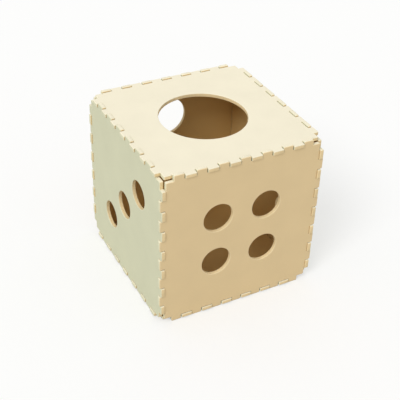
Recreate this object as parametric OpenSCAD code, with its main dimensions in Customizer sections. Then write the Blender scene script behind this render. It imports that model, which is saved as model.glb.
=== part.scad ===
// Cat condo: a cube house of six foam sheets that lock together with straight fingers along their edges.
// Millimetres, +Z up. The origin is the middle of the footprint, on the plane that the finger ends stand on.
// The front panel, with four windows, faces -Y, and the left panel, with three, faces -X.

/* [Cube] */
// Side of the cube, from the outer face of one sheet to the outer face of the opposite one
cube_side = 400; // [340:5:480]
// Thickness of the foam sheet
sheet = 9; // [6:0.5:16]
// How far a finger stands out past the face of the sheet that it passes through
finger_proud = 3; // [0.5:0.5:6]
// Clearance between the edge of a sheet and the sheets that it meets
edge_clearance = 0.6; // [0.1:0.05:0.9]

/* [Fingers] */
// Fingers on each of the two edges of a sheet that have one finger more than the other two
finger_count = 7; // [4:1:9]
// Width of the fingers on those two edges
finger_w = 24; // [16:0.5:27]
// Clearance on each side of a finger
finger_clearance = 1.2; // [0.2:0.1:1.5]
// Length of the open groove that is left along each edge at every corner of the cube
corner_gap = 29; // [20:0.5:36]
// How much further back a sheet's edge is cut in the corner grooves
corner_relief = 1; // [0.5:0.25:3]
// Radius of the four corners of every sheet
corner_round = 2.5; // [1:0.5:12]

/* [Round openings] */
// Diameter of the hole in the top panel
top_hole_d = 207; // [120:1:240]
// Diameter of the four front windows
front_window_d = 73; // [40:1:100]
// Distance of the front windows from the middle lines of the panel
front_window_offset = 61; // [52:1:90]
// Diameter of the windows in the left and right panels
side_window_d = 68; // [40:1:90]
// Distance of the outer side windows from the middle lines of the panel
side_window_offset = 81; // [68:1:90]
// Height of the middle side window above the middle of the panel
side_window_rise = 7; // [0:1:12]
// Diameter of the back window
back_window_d = 103; // [60:1:110]
// Height of the back window above the middle of the panel
back_window_rise = 94; // [0:1:96]

/* [Hidden] */
$fn = 96;
// Angle between the points of a rounded corner, and the most of a groove's length that the corner may take
arc_step = 10;
groove_share = 0.8;

cream = [0.94, 0.90, 0.80];
tan_colour = [0.83, 0.73, 0.56];
sage = [0.80, 0.82, 0.71];

half = cube_side / 2;
// Middle of the cube, with the lower fingers standing on the origin's plane
middle_height = half + finger_proud;
// From the middle of a sheet to its edge between fingers, to its finger ends and to its edge in the grooves
edge_reach = half - sheet - edge_clearance;
finger_reach = half + finger_proud;
corner_reach = edge_reach - corner_relief;
// From the middle of an edge to the grooves at its ends
groove_start = half - corner_gap;
// Radius of a sheet's corners, kept inside the grooves where they are short
corner_r = min(corner_round, groove_share * (corner_reach - groove_start));
// From one finger to the next, and the width of the fingers that fill the gaps of the mating edge
finger_pitch = (cube_side - 2 * corner_gap - finger_w) / (finger_count - 1);
filler_w = finger_pitch - finger_w - 2 * finger_clearance;

// Places of a number of fingers along an edge, about its middle
function finger_places(count) = [for (i = [0 : count - 1]) (i - (count - 1) / 2) * finger_pitch];

// Fingers on an edge at +y, whose first and last sides go down to an outer root
function finger_points(places, width, outer_root) = [
    for (i = [0 : len(places) - 1])
        let (left_root = i == 0 ? outer_root : edge_reach)
        let (right_root = i == len(places) - 1 ? outer_root : edge_reach)
        each [
            [places[i] - width / 2, left_root],
            [places[i] - width / 2, finger_reach],
            [places[i] + width / 2, finger_reach],
            [places[i] + width / 2, right_root]
        ]
];

// A point turned clockwise by a number of quarter turns
function quarter_turned(point, quarters) =
    quarters == 0 ? point : quarter_turned([point[1], -point[0]], quarters - 1);

// Parts of a sheet's outline at +y: its left corner, the edge with all fingers, the edge that fills its gaps
corner_arc = [
    for (angle = [180 : -arc_step : 90])
        [-corner_reach, corner_reach] + corner_r * [1 + cos(angle), sin(angle) - 1]
];
full_edge = finger_points(finger_places(finger_count), finger_w, corner_reach);
filler_edge = concat(
    [[-groove_start, corner_reach], [-groove_start, edge_reach]],
    finger_points(finger_places(finger_count - 1), filler_w, edge_reach),
    [[groove_start, edge_reach], [groove_start, corner_reach]]
);

// Outline that all six sheets share: the full edge at +y and -y, and the filler edge at +x and -x
sheet_outline = [
    for (quarters = [0 : 3])
        for (point = concat(corner_arc, quarters % 2 == 0 ? full_edge : filler_edge))
            quarter_turned(point, quarters)
];

// A sheet lying on z = 0, with its round openings as circles at the given places
module finger_sheet(quarter, opening_d = 0, openings = []) {
    linear_extrude(sheet)
        difference() {
            rotate(quarter ? 90 : 0)
                polygon(sheet_outline);
            for (place = openings)
                translate(place)
                    circle(d = opening_d);
        }
}

// Moves a lying sheet to a face of the cube, outer face out: tilt 0 is the top, 180 the bottom and 90 a wall
module on_face(tilt, turn = 0) {
    translate([0, 0, middle_height])
        rotate([tilt, 0, turn])
            translate([0, 0, half - sheet])
                children();
}

module bottom_panel() {
    color(cream)
        on_face(180)
            finger_sheet(true);
}

module top_panel() {
    color(cream)
        on_face(0)
            finger_sheet(true, top_hole_d, [[0, 0]]);
}

module front_panel() {
    color(tan_colour)
        on_face(90)
            finger_sheet(false, front_window_d,
                [for (x = [-1, 1], y = [-1, 1]) [x, y] * front_window_offset]);
}

module back_panel() {
    color(tan_colour)
        on_face(90, 180)
            finger_sheet(false, back_window_d, [[0, back_window_rise]]);
}

module left_panel() {
    color(sage)
        on_face(90, -90)
            finger_sheet(true, side_window_d,
                [for (i = [-1 : 1]) [i * side_window_offset, i * side_window_offset + side_window_rise]]);
}

module right_panel() {
    corners = [for (x = [-1, 1], y = [-1, 1]) [x, y] * side_window_offset + [0, side_window_rise]];
    color(sage)
        on_face(90, 90)
            finger_sheet(true, side_window_d, concat([[0, side_window_rise]], corners));
}

bottom_panel();
top_panel();
front_panel();
back_panel();
left_panel();
right_panel();
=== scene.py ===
# Looks of the cube cat house: six die-cut foam panels, each made round the outline of its CAD node.
# Metres, in the frame of the part: +Z up, the front with four windows faces -Y, the left with three faces -X.
import math
import random

import bmesh
import bpy
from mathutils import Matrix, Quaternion, Vector


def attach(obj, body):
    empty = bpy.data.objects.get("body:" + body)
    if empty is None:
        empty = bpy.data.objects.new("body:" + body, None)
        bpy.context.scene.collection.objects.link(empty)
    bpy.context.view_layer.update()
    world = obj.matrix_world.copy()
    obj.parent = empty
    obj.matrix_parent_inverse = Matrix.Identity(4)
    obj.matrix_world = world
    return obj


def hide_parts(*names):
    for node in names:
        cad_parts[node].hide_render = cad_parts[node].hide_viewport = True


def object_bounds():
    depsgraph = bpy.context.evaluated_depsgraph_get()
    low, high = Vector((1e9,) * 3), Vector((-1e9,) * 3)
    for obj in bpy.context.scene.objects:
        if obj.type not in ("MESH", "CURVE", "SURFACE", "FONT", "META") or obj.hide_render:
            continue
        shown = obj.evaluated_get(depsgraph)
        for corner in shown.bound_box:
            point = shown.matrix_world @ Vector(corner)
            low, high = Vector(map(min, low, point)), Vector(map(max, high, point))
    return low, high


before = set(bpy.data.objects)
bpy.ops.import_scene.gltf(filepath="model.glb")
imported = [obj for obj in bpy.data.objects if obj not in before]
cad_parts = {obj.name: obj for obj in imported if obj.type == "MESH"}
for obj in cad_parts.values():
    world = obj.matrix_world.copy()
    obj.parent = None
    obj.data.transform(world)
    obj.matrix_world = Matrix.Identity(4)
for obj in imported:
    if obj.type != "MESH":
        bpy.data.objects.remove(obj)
cad_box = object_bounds()

# The cube in the frame: its middle, the thickness of a sheet, and how far the cabin reaches from the middle
MIDDLE = [(low + high) / 2 for low, high in zip(*cad_box)]
LID_HEIGHTS = [v.co.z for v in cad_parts["top_panel"].data.vertices]
SHEET = max(LID_HEIGHTS) - min(LID_HEIGHTS)
CABIN_REACH = min(LID_HEIGHTS) - MIDDLE[2]

# Outward direction and material slot of each panel
PANELS = {
    "bottom_panel": ((0, 0, -1), "cream_foam"),
    "top_panel": ((0, 0, 1), "cream_foam"),
    "front_panel": ((0, -1, 0), "tan_foam"),
    "back_panel": ((0, 1, 0), "tan_foam"),
    "left_panel": ((-1, 0, 0), "sage_foam"),
    "right_panel": ((1, 0, 0), "sage_foam"),
}

# Colours as sRGB of the outer faces of each slot's sheets: the cream is the foam's own, and the tan and the
# sage are partly the sheets' own and partly painted light, the warm tint on the sheets that face front and
# back and the cool tint on those that face the sides
FACE_AND_LIGHT_COLOURS = {
    "cream_foam": (245, 237, 212),
    "tan_foam": (238, 212, 164),
    "sage_foam": (221, 221, 190),
}
# Painted light on the fingers: a colour for each way a finger part faces, cream up and down, tan to the front
# and back and sage to the sides; the tan also stands for light thrown back onto inner faces in upright joints
FACING_LIGHT_COLOURS = {
    "cream_foam": (248, 240, 214),
    "tan_foam": (248, 222, 172),
    "sage_foam": (236, 234, 202),
}
WINDOW_COLOUR = (248, 224, 174)
# Pale edge colour: partly worn foam showing below the skin, partly a painted highlight along the rolled edges
WORN_AND_HIGHLIGHT_COLOUR = (252, 240, 206)
# Inner faces: a tan of the sheets' inner side, partly painted shade, darker and browner so that the cabin
# looks shaded
INNER_AND_SHADE_COLOUR = (223, 190, 128)
# Painted shade in the joints and gaps between the sheets
JOINT_SHADE_COLOUR = (112, 98, 62)

# Places of a panel's four materials
OUTER, FINGER, WINDOW, INSIDE = range(4)

# Edges of the foam: the die rolls them over, more on the outer face, and leaves the cut wall slightly hollow
OUTER_ROLL = 0.0013
INNER_ROLL = 0.0006
WALL_HOLLOW = 0.0002
ROLL_STEPS = 4
# Flat strip beside the rolled edge, in which the pale edge, partly worn and partly a painted highlight, fades
# out
EDGE_FADE_STRIP = 0.0005
# Rounding of the finger ends, and how much shorter than the drawing a finger may be
TIP_ROUND = 0.0019
TIP_STEPS = 4
TIP_SCATTER = 0.0006
# Points round a window, and the sharpest turn that still counts as part of a curve
WINDOW_POINTS = 120
CURVE_TURN = math.radians(45)
# How exactly a node is read: decimals of a metre, distance from a face, and turn that still counts as none
POINT_DECIMALS = 6
FACE_TOLERANCE = 1e-5
STRAIGHT_TURN = 1e-3

# Camera of the photograph: where it stands, the point it looks at, its roll, and its lens and sensor in mm
CAMERA_PLACE = (-0.8240, -1.5020, 1.3955)
CAMERA_TARGET = (-0.0085, -0.0166, 0.1773)
CAMERA_ROLL = 0.0407
CAMERA_LENS = 77.5
CAMERA_SENSOR = 36


def linear(colour):
    """An sRGB colour of 0 to 255 as the linear RGBA that shaders take."""
    shares = [c / 255 for c in colour]
    return [s / 12.92 if s <= 0.04045 else ((s + 0.055) / 1.055) ** 2.4 for s in shares] + [1.0]


# Outlines

def face_axes(outward):
    """The directions to the right and up on a panel, for someone who looks at its outer face."""
    up = Vector((0, 1, 0)) if outward.z else Vector((0, 0, 1))
    return up.cross(outward), up


def face_loops(node, outward):
    """Closed loops of flat points round a panel's outer face, each with the foam on its left."""
    across, up = face_axes(outward)
    mesh = node.data
    level = max(outward.dot(v.co) for v in mesh.vertices)
    flat = [tuple(round(axis.dot(v.co), POINT_DECIMALS) for axis in (across, up)) for v in mesh.vertices]
    sides = set()
    for polygon in mesh.polygons:
        if all(level - outward.dot(mesh.vertices[i].co) < FACE_TOLERANCE for i in polygon.vertices):
            corners = [flat[i] for i in polygon.vertices]
            sides.update(zip(corners, corners[1:] + corners[:1]))
    follows = {a: b for a, b in sides if (b, a) not in sides}
    loops = []
    while follows:
        start = min(follows)
        point = follows.pop(start)
        loop = [start]
        while point != start:
            loop.append(point)
            point = follows.pop(point)
        loops.append([Vector(p) for p in loop])
    return sorted(loops, key=signed_area, reverse=True)


def signed_area(loop):
    """Area inside a loop: positive for an outline, negative for an opening."""
    return sum(a.cross(b) for a, b in zip(loop, loop[1:] + loop[:1])) / 2


def turn_at(loop, i):
    """Angle by which a loop turns at a point, positive to the left."""
    before = loop[i] - loop[i - 1]
    after = loop[(i + 1) % len(loop)] - loop[i]
    return math.atan2(before.cross(after), before.dot(after))


def without_straight_points(loop):
    """The loop without the points that lie on a straight stretch."""
    return [p for i, p in enumerate(loop) if abs(turn_at(loop, i)) > STRAIGHT_TURN]


def shortened_fingers(loop, chance):
    """The outline with each finger a little shorter than drawn."""
    moved = [p.copy() for p in loop]
    for i in range(len(loop)):
        j = (i + 1) % len(loop)
        if turn_at(loop, i) > CURVE_TURN and turn_at(loop, j) > CURVE_TURN:
            along = (loop[j] - loop[i]).normalized()
            inward = Vector((-along.y, along.x)) * chance.uniform(0, TIP_SCATTER)
            moved[i] += inward
            moved[j] += inward
    return moved


def rounded_fingers(loop):
    """The outline with the outer corners of its fingers rounded."""
    points = []
    for i, p in enumerate(loop):
        turn = turn_at(loop, i)
        if turn < CURVE_TURN:
            points.append(p)
            continue
        before = (p - loop[i - 1]).normalized()
        inward = Vector((-before.y, before.x))
        centre = p - before * TIP_ROUND + inward * TIP_ROUND
        for step in range(TIP_STEPS + 1):
            angle = turn * step / TIP_STEPS
            points.append(centre + TIP_ROUND * (before * math.sin(angle) - inward * math.cos(angle)))
    return points


def round_window(loop):
    """An opening's loop drawn again as a fine circle."""
    centre = sum(loop, Vector((0, 0))) / len(loop)
    radius = sum((p - centre).length for p in loop) / len(loop)
    angles = [-2 * math.pi * i / WINDOW_POINTS for i in range(WINDOW_POINTS)]
    return [centre + radius * Vector((math.cos(a), math.sin(a))) for a in angles]


def inset(loop, distance):
    """The loop moved into the foam by a distance."""
    moved = []
    for i, p in enumerate(loop):
        before = (p - loop[i - 1]).normalized()
        after = (loop[(i + 1) % len(loop)] - p).normalized()
        left = Vector((-before.y, before.x)), Vector((-after.y, after.x))
        moved.append(p + distance * (left[0] + left[1]) / (1 + left[0].dot(left[1])))
    return moved


# Panels

def rolled_edge(radius):
    """Rings from a flat face over its rolled edge: depth below the face, margin to the outline, and the share
    of the pale edge, partly worn and partly a painted highlight, greatest halfway round the roll.
    """
    rings = [(0, radius + EDGE_FADE_STRIP, 0)]
    for step in range(ROLL_STEPS + 1):
        angle = math.pi / 2 * step / ROLL_STEPS
        rings.append((radius * (1 - math.cos(angle)), radius * (1 - math.sin(angle)), math.sin(2 * angle)))
    return rings


def edge_profile(thickness, cut):
    """Rings from the outer face to the inner one, and the materials of the bands between them."""
    outer = rolled_edge(OUTER_ROLL)
    inner = [(thickness - depth, margin, wear_and_highlight) for depth, margin, wear_and_highlight in reversed(rolled_edge(INNER_ROLL))]
    middle = [(thickness / 2, WALL_HOLLOW, 0)]
    materials = [OUTER] * (len(outer) - 1) + [cut] * 2 + [INSIDE] * (len(inner) - 1)
    return outer + middle + inner, materials


def wall_rings(shell, loop, profile, outward, level):
    """Rings of points round a loop, one for each ring of the edge's profile, with its share of the pale edge.
    """
    across, up = face_axes(outward)
    wear_and_highlight_layer = shell.verts.layers.float["wear_and_highlight"]
    rings = []
    for depth, margin, wear_and_highlight in profile:
        base = outward * (level - depth)
        ring = [shell.verts.new(base + across * p.x + up * p.y) for p in inset(loop, margin)]
        for vert in ring:
            vert[wear_and_highlight_layer] = wear_and_highlight
        rings.append(ring)
    return rings


def add_bands(shell, loop, rings, materials):
    """Faces between the rings of a wall, smooth round curves and creased at corners."""
    sharp = [abs(turn_at(loop, i)) > CURVE_TURN for i in range(len(loop))]
    for upper, lower, material in zip(rings, rings[1:], materials):
        for i in range(len(loop)):
            j = (i + 1) % len(loop)
            face = shell.faces.new((upper[i], lower[i], lower[j], upper[j]))
            face.smooth = True
            face.material_index = material
            shell.edges.get((upper[i], lower[i])).smooth = not sharp[i]


def add_cap(shell, rings, facing, material):
    """A flat face that fills the space between the rings round its outline and its openings."""
    edges = []
    for ring in rings:
        edges.extend(shell.edges.get(ends) for ends in zip(ring, ring[1:] + ring[:1]))
    filled = bmesh.ops.triangle_fill(shell, use_beauty=True, edges=edges, normal=facing)
    for part in filled["geom"]:
        if isinstance(part, bmesh.types.BMFace):
            part.material_index = material


def panel_mesh(name, outward):
    """A closed shell with rolled edges, round the outline and the openings of a panel's node."""
    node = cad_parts[name]
    levels = [outward.dot(v.co) for v in node.data.vertices]
    thickness = max(levels) - min(levels)
    outline, *openings = [without_straight_points(loop) for loop in face_loops(node, outward)]
    outline = rounded_fingers(shortened_fingers(outline, random.Random(name)))
    cuts = [(outline, FINGER)] + [(round_window(loop), WINDOW) for loop in openings]

    shell = bmesh.new()
    shell.verts.layers.float.new("wear_and_highlight")
    walls = []
    for loop, cut in cuts:
        profile, materials = edge_profile(thickness, cut)
        rings = wall_rings(shell, loop, profile, outward, max(levels))
        add_bands(shell, loop, rings, materials)
        walls.append(rings)
    add_cap(shell, [rings[0] for rings in walls], outward, OUTER)
    add_cap(shell, [rings[-1] for rings in walls], -outward, INSIDE)
    bmesh.ops.recalc_face_normals(shell, faces=shell.faces)
    mesh = bpy.data.meshes.new(name + "_foam")
    shell.to_mesh(mesh)
    shell.free()
    return mesh


def foam_panel(name, outward, slot):
    """A panel of foam in place of its node."""
    mesh = panel_mesh(name, outward)
    mesh.materials.append(skin_material(slot + "_face", FACE_AND_LIGHT_COLOURS[slot]))
    mesh.materials.append(cut_material("finger", outward))
    mesh.materials.append(cut_material("window", outward))
    mesh.materials.append(skin_material("inside"))
    panel = bpy.data.objects.new(name + "_foam", mesh)
    bpy.context.scene.collection.objects.link(panel)
    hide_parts(name)
    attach(panel, name)


# Materials

# Sizes of the foam's detail: clouds of tone, waves, patches of the pale edges, pores, grain and the open
# cells of a cut
SKIN_CLOUD_SIZE = 0.07
CUT_CLOUD_SIZE = 0.035
WAVE_SIZE = 0.045
PATCH_SIZE = 0.017
PORE_SIZE = 0.0011
GRAIN_SIZE = 0.0008
CELL_SIZE = 0.0007
# Lines that the die leaves on a cut wall: their spacing along the wall and their length across the sheet
LINE_SPACING = 0.0014
LINE_LENGTH = 0.017
# How many finer layers a cloudy pattern has
NOISE_DETAIL = 3.0
# How much of its colour the foam shows, from the low to the high values of each kind of detail
SKIN_CLOUD_TONES = (0.975, 1.015)
CUT_CLOUD_TONES = (0.92, 1.03)
GRAIN_TONES = (1.0, 0.985)
LINE_TONES = (1.0, 0.94)
CELL_TONES = (0.93, 1.0)
# The stretch of each kind of detail's values over which the tone changes
CLOUD_STRETCH = (0.3, 0.7)
LINE_STRETCH = (0.45, 0.75)
CELL_STRETCH = (0.0, 0.45)
# Share of the pale colour on an edge, partly worn and partly a painted highlight, which changes from patch to
# patch
WORN_AND_HIGHLIGHT_SHARES = (0.2, 0.6)
# Depth and strength of each bump
WAVE_BUMP = (0.0012, 0.25)
PORE_BUMP = (0.00025, 0.35)
GRAIN_BUMP = (0.0002, 0.3)
LINE_BUMP = (0.0003, 0.4)
CELL_BUMP = (0.0004, 0.5)
# Roughness from the low to the high values of the grain and of the lines, and how much each surface mirrors
SKIN_ROUGHNESS = (0.72, 0.88)
CUT_ROUGHNESS = (0.82, 0.95)
SKIN_MIRROR = 0.3
CUT_MIRROR = 0.2
# Painted shade in the joints: the width of gap it darkens, its share in upright and in level joints, and the
# stretch of openness over which it ends
JOINT_SHADE_REACH = 0.005
JOINT_SHADE_SHARES = (0.25, 0.5)
JOINT_SHADE_STRETCH = (0.1, 0.9)

# A mix node has sockets of the same name for each kind of value, so those for colours go by their numbers
COLOUR_MIX_INPUTS = (0, 6, 7)
COLOUR_MIX_OUTPUT = 2


class Shader:
    """A node material with a Principled shader, and short ways to add the nodes that the foam uses."""

    def __init__(self, name):
        self.material = bpy.data.materials.new(name)
        self.material.use_nodes = True
        self.nodes = self.material.node_tree.nodes
        self.links = self.material.node_tree.links
        self.surface = self.nodes["Principled BSDF"]
        self.place = self.nodes.new("ShaderNodeTexCoord").outputs["Object"]

    def put(self, socket, value):
        """Links a socket to another node's output, or sets it to a constant."""
        if isinstance(value, bpy.types.NodeSocket):
            self.links.new(value, socket)
        else:
            socket.default_value = value

    def node(self, kind, inputs, **settings):
        """A new node with its settings and inputs."""
        made = self.nodes.new(kind)
        for key, value in settings.items():
            setattr(made, key, value)
        for key, value in inputs.items():
            self.put(made.inputs[key], value)
        return made

    def noise(self, size):
        """Cloudy values round 0.5, with forms of about the given size."""
        inputs = {"Vector": self.place, "Scale": 1 / size, "Detail": NOISE_DETAIL}
        return self.node("ShaderNodeTexNoise", inputs).outputs["Fac"]

    def streaks(self, sizes):
        """Cloudy values that are drawn out, with a size along each axis."""
        scale = [1 / size for size in sizes]
        place = self.node("ShaderNodeMapping", {"Vector": self.place, "Scale": scale}).outputs["Vector"]
        return self.node("ShaderNodeTexNoise", {"Vector": place, "Scale": 1.0}).outputs["Fac"]

    def cells(self, size):
        """Values that rise from the middle of each cell to its wall."""
        inputs = {"Vector": self.place, "Scale": 1 / size}
        return self.node("ShaderNodeTexVoronoi", inputs).outputs["Distance"]

    def openness(self, reach):
        """1 in the open, falling to 0 in gaps narrower than the reach."""
        return self.node("ShaderNodeAmbientOcclusion", {"Distance": reach}).outputs["AO"]

    def from_middle(self):
        """How far a point lies from the middle of the cube along x, y and z."""
        inputs = {0: self.place, 1: MIDDLE}
        offset = self.node("ShaderNodeVectorMath", inputs, operation="SUBTRACT").outputs["Vector"]
        distance = self.node("ShaderNodeVectorMath", {0: offset}, operation="ABSOLUTE").outputs["Vector"]
        return self.node("ShaderNodeSeparateXYZ", {"Vector": distance}).outputs

    def spread(self, value, results, stretch=(0.0, 1.0)):
        """The value carried from a stretch of values to a range of results."""
        names = ("Value", "From Min", "From Max", "To Min", "To Max")
        inputs = dict(zip(names, (value, *stretch, *results)))
        return self.node("ShaderNodeMapRange", inputs).outputs["Result"]

    def product(self, first, second):
        """One value times another."""
        return self.node("ShaderNodeMath", {0: first, 1: second}, operation="MULTIPLY").outputs[0]

    def greatest(self, first, *others):
        """The greatest of some values."""
        for other in others:
            first = self.node("ShaderNodeMath", {0: first, 1: other}, operation="MAXIMUM").outputs[0]
        return first

    def mixed(self, share, first, second):
        """The first colour, with a share of the second in its place."""
        inputs = dict(zip(COLOUR_MIX_INPUTS, (share, first, second)))
        return self.node("ShaderNodeMix", inputs, data_type="RGBA").outputs[COLOUR_MIX_OUTPUT]

    def dimmed(self, colour, share):
        """A colour times a share."""
        inputs = {0: colour, "Scale": share}
        return self.node("ShaderNodeVectorMath", inputs, operation="SCALE").outputs["Vector"]

    def bumped(self, height, bump, normal=None):
        """Normals tilted by a height, on top of those of a coarser bump if there is one."""
        depth, strength = bump
        inputs = {"Height": height, "Distance": depth, "Strength": strength}
        if normal:
            inputs["Normal"] = normal
        return self.node("ShaderNodeBump", inputs).outputs["Normal"]

    def feed(self, socket, value):
        """Puts a value into the Principled shader."""
        self.put(self.surface.inputs[socket], value)


def at_level_joint(shader):
    """1 near the level joints round the top and the bottom of the cube, 0 near the upright ones."""
    _, _, height = shader.from_middle()
    return shader.spread(height, (0, 1), (CABIN_REACH - SHEET, CABIN_REACH))


def joint_shaded(shader, tone):
    """The tone with painted shade in the joints and gaps, most of it in the level ones."""
    share = shader.spread(at_level_joint(shader), JOINT_SHADE_SHARES)
    painted_shade = shader.spread(shader.openness(JOINT_SHADE_REACH), (share, 0), JOINT_SHADE_STRETCH)
    return shader.mixed(painted_shade, tone, linear(JOINT_SHADE_COLOUR))


def facing_light_tint(shader):
    """Painted light on fingers out of the cabin: a colour by the way each part faces, cream up and down, tan
    to the front and back, sage to the sides.
    """
    cream, tan, sage = [linear(FACING_LIGHT_COLOURS[slot]) for slot in ("cream_foam", "tan_foam", "sage_foam")]
    normal = shader.node("ShaderNodeTexCoord", {}).outputs["Normal"]
    x, y, _ = shader.node("ShaderNodeSeparateXYZ", {"Vector": normal}).outputs
    tint = shader.mixed(shader.product(y, y), cream, tan)
    return shader.mixed(shader.product(x, x), tint, sage)


def inside_tint(shader):
    """The colour of the inner faces: that of the cabin, partly painted shade, and painted light on the
    fingers beyond it, a tint by the way they face and tan in upright joints for light thrown back from the
    front and back sheets.
    """
    stretch = (CABIN_REACH + EDGE_FADE_STRIP, CABIN_REACH + 2 * EDGE_FADE_STRIP)
    beyond = shader.spread(shader.greatest(*shader.from_middle()), (0, 1), stretch)
    tan = linear(FACING_LIGHT_COLOURS["tan_foam"])
    fingers = shader.mixed(at_level_joint(shader), tan, facing_light_tint(shader))
    return shader.mixed(beyond, linear(INNER_AND_SHADE_COLOUR), fingers)


def skin_material(name, colour=None):
    """Smooth foam skin: soft cloudy tone, fine pebbled grain, and pale edges that are partly worn, showing
    the foam below, and partly a painted highlight.
    """
    if name in bpy.data.materials:
        return bpy.data.materials[name]
    shader = Shader(name)
    clouds = shader.noise(SKIN_CLOUD_SIZE)
    grain = shader.noise(GRAIN_SIZE)
    tint = linear(colour)[:3] if colour else inside_tint(shader)
    tone = shader.dimmed(tint, shader.spread(clouds, SKIN_CLOUD_TONES, CLOUD_STRETCH))
    tone = shader.dimmed(tone, shader.spread(grain, GRAIN_TONES))
    wear_and_highlight = shader.node("ShaderNodeAttribute", {}, attribute_name="wear_and_highlight").outputs["Fac"]
    worn_and_highlight = shader.product(wear_and_highlight, shader.spread(shader.noise(PATCH_SIZE), WORN_AND_HIGHLIGHT_SHARES))
    tone = shader.mixed(worn_and_highlight, tone, linear(WORN_AND_HIGHLIGHT_COLOUR))
    shader.feed("Base Color", joint_shaded(shader, tone))
    shader.feed("Roughness", shader.spread(grain, SKIN_ROUGHNESS))
    shader.feed("Specular IOR Level", SKIN_MIRROR)
    waves = shader.bumped(shader.noise(WAVE_SIZE), WAVE_BUMP)
    pebbles = shader.bumped(shader.cells(PORE_SIZE), PORE_BUMP, waves)
    shader.feed("Normal", shader.bumped(grain, GRAIN_BUMP, pebbles))
    return shader.material


def cut_material(kind, outward):
    """Cut foam of fingers or windows: open cells, and faint lines that the die leaves across the sheet."""
    axis = max("xyz", key=lambda letter: abs(getattr(outward, letter)))
    name = kind + "_cut_across_" + axis
    if name in bpy.data.materials:
        return bpy.data.materials[name]
    shader = Shader(name)
    clouds = shader.noise(CUT_CLOUD_SIZE)
    lines = shader.streaks([LINE_LENGTH if letter == axis else LINE_SPACING for letter in "xyz"])
    cells = shader.cells(CELL_SIZE)
    # Fingers take the painted light tint for the way they face, and windows take one cut colour.
    tint = facing_light_tint(shader) if kind == "finger" else linear(WINDOW_COLOUR)[:3]
    tone = shader.dimmed(tint, shader.spread(clouds, CUT_CLOUD_TONES, CLOUD_STRETCH))
    tone = shader.dimmed(tone, shader.spread(lines, LINE_TONES, LINE_STRETCH))
    tone = shader.dimmed(tone, shader.spread(cells, CELL_TONES, CELL_STRETCH))
    shader.feed("Base Color", joint_shaded(shader, tone))
    shader.feed("Roughness", shader.spread(lines, CUT_ROUGHNESS))
    shader.feed("Specular IOR Level", CUT_MIRROR)
    scored = shader.bumped(lines, LINE_BUMP)
    shader.feed("Normal", shader.bumped(cells, CELL_BUMP, scored))
    return shader.material


# Stage

# The floor: its side, its colour to the camera and in the light it throws back, its roughness and mirroring
FLOOR_SIDE = 40
FLOOR_SEEN = (252, 252, 251)
FLOOR_BOUNCE = (190, 189, 186)
FLOOR_ROUGHNESS = 0.9
FLOOR_MIRROR = 0.0
# Share of its colour that the floor shows the camera as a glow, which makes the shadows on it paler
FLOOR_GLOW = 0.5
# Level of the even light from all round
WORLD_LEVEL = 0.72
# The one lamp: the direction to it, its level on a surface that faces it, and its width in the sky
LAMP_DIRECTION = (-0.60, -0.35, 0.72)
LAMP_LEVEL = 0.42
LAMP_WIDTH = math.radians(25)


def floor_material():
    """Near white to the camera, partly as a glow, and a little less than that in the light on the object."""
    shader = Shader("floor")
    path = shader.node("ShaderNodeLightPath", {})
    kinds = ("Is Camera Ray", "Is Glossy Ray", "Is Transmission Ray")
    seen = shader.greatest(*[path.outputs[kind] for kind in kinds])
    shaded = [level * (1 - FLOOR_GLOW) for level in linear(FLOOR_SEEN)]
    shader.feed("Base Color", shader.mixed(seen, linear(FLOOR_BOUNCE), shaded))
    shader.feed("Emission Color", linear(FLOOR_SEEN))
    shader.feed("Emission Strength", shader.product(seen, FLOOR_GLOW))
    shader.feed("Roughness", FLOOR_ROUGHNESS)
    shader.feed("Specular IOR Level", FLOOR_MIRROR)
    return shader.material


def floor():
    """The plain ground that the cube stands on."""
    mesh = bpy.data.meshes.new("floor")
    half = FLOOR_SIDE / 2
    corners = [(-half, -half, 0), (half, -half, 0), (half, half, 0), (-half, half, 0)]
    mesh.from_pydata(corners, [], [range(len(corners))])
    mesh.materials.append(floor_material())
    plane = bpy.data.objects.new("floor", mesh)
    bpy.context.scene.collection.objects.link(plane)


def surroundings():
    """An even white world, which looks like the floor to the camera."""
    world = bpy.data.worlds.new("studio")
    world.use_nodes = True
    tree = world.node_tree
    around = tree.nodes["Background"]
    around.inputs["Color"].default_value = (1, 1, 1, 1)
    around.inputs["Strength"].default_value = WORLD_LEVEL
    seen = tree.nodes.new("ShaderNodeBackground")
    seen.inputs["Color"].default_value = linear(FLOOR_SEEN)
    path = tree.nodes.new("ShaderNodeLightPath")
    mix = tree.nodes.new("ShaderNodeMixShader")
    tree.links.new(path.outputs["Is Camera Ray"], mix.inputs["Fac"])
    tree.links.new(around.outputs["Background"], mix.inputs[1])
    tree.links.new(seen.outputs["Background"], mix.inputs[2])
    tree.links.new(mix.outputs["Shader"], tree.nodes["World Output"].inputs["Surface"])
    bpy.context.scene.world = world


def lamp():
    """One wide sun that gives soft shadows."""
    sun = bpy.data.lights.new("key", "SUN")
    sun.energy = LAMP_LEVEL * math.pi
    sun.angle = LAMP_WIDTH
    holder = bpy.data.objects.new("key", sun)
    holder.rotation_mode = "QUATERNION"
    holder.rotation_quaternion = Vector(LAMP_DIRECTION).to_track_quat("Z", "Y")
    bpy.context.scene.collection.objects.link(holder)


def camera():
    """The camera at the photograph's viewing angle."""
    data = bpy.data.cameras.new("camera")
    data.sensor_width = CAMERA_SENSOR
    data.lens = CAMERA_LENS
    holder = bpy.data.objects.new("camera", data)
    place, target = Vector(CAMERA_PLACE), Vector(CAMERA_TARGET)
    holder.location = place
    holder.rotation_mode = "QUATERNION"
    aim = (target - place).to_track_quat("-Z", "Y")
    holder.rotation_quaternion = aim @ Quaternion((0, 0, 1), CAMERA_ROLL)
    bpy.context.scene.collection.objects.link(holder)
    bpy.context.scene.camera = holder


for panel_name, (panel_outward, panel_slot) in PANELS.items():
    foam_panel(panel_name, Vector(panel_outward), panel_slot)
floor()
surroundings()
lamp()
camera()
bpy.context.scene.view_settings.view_transform = "Standard"
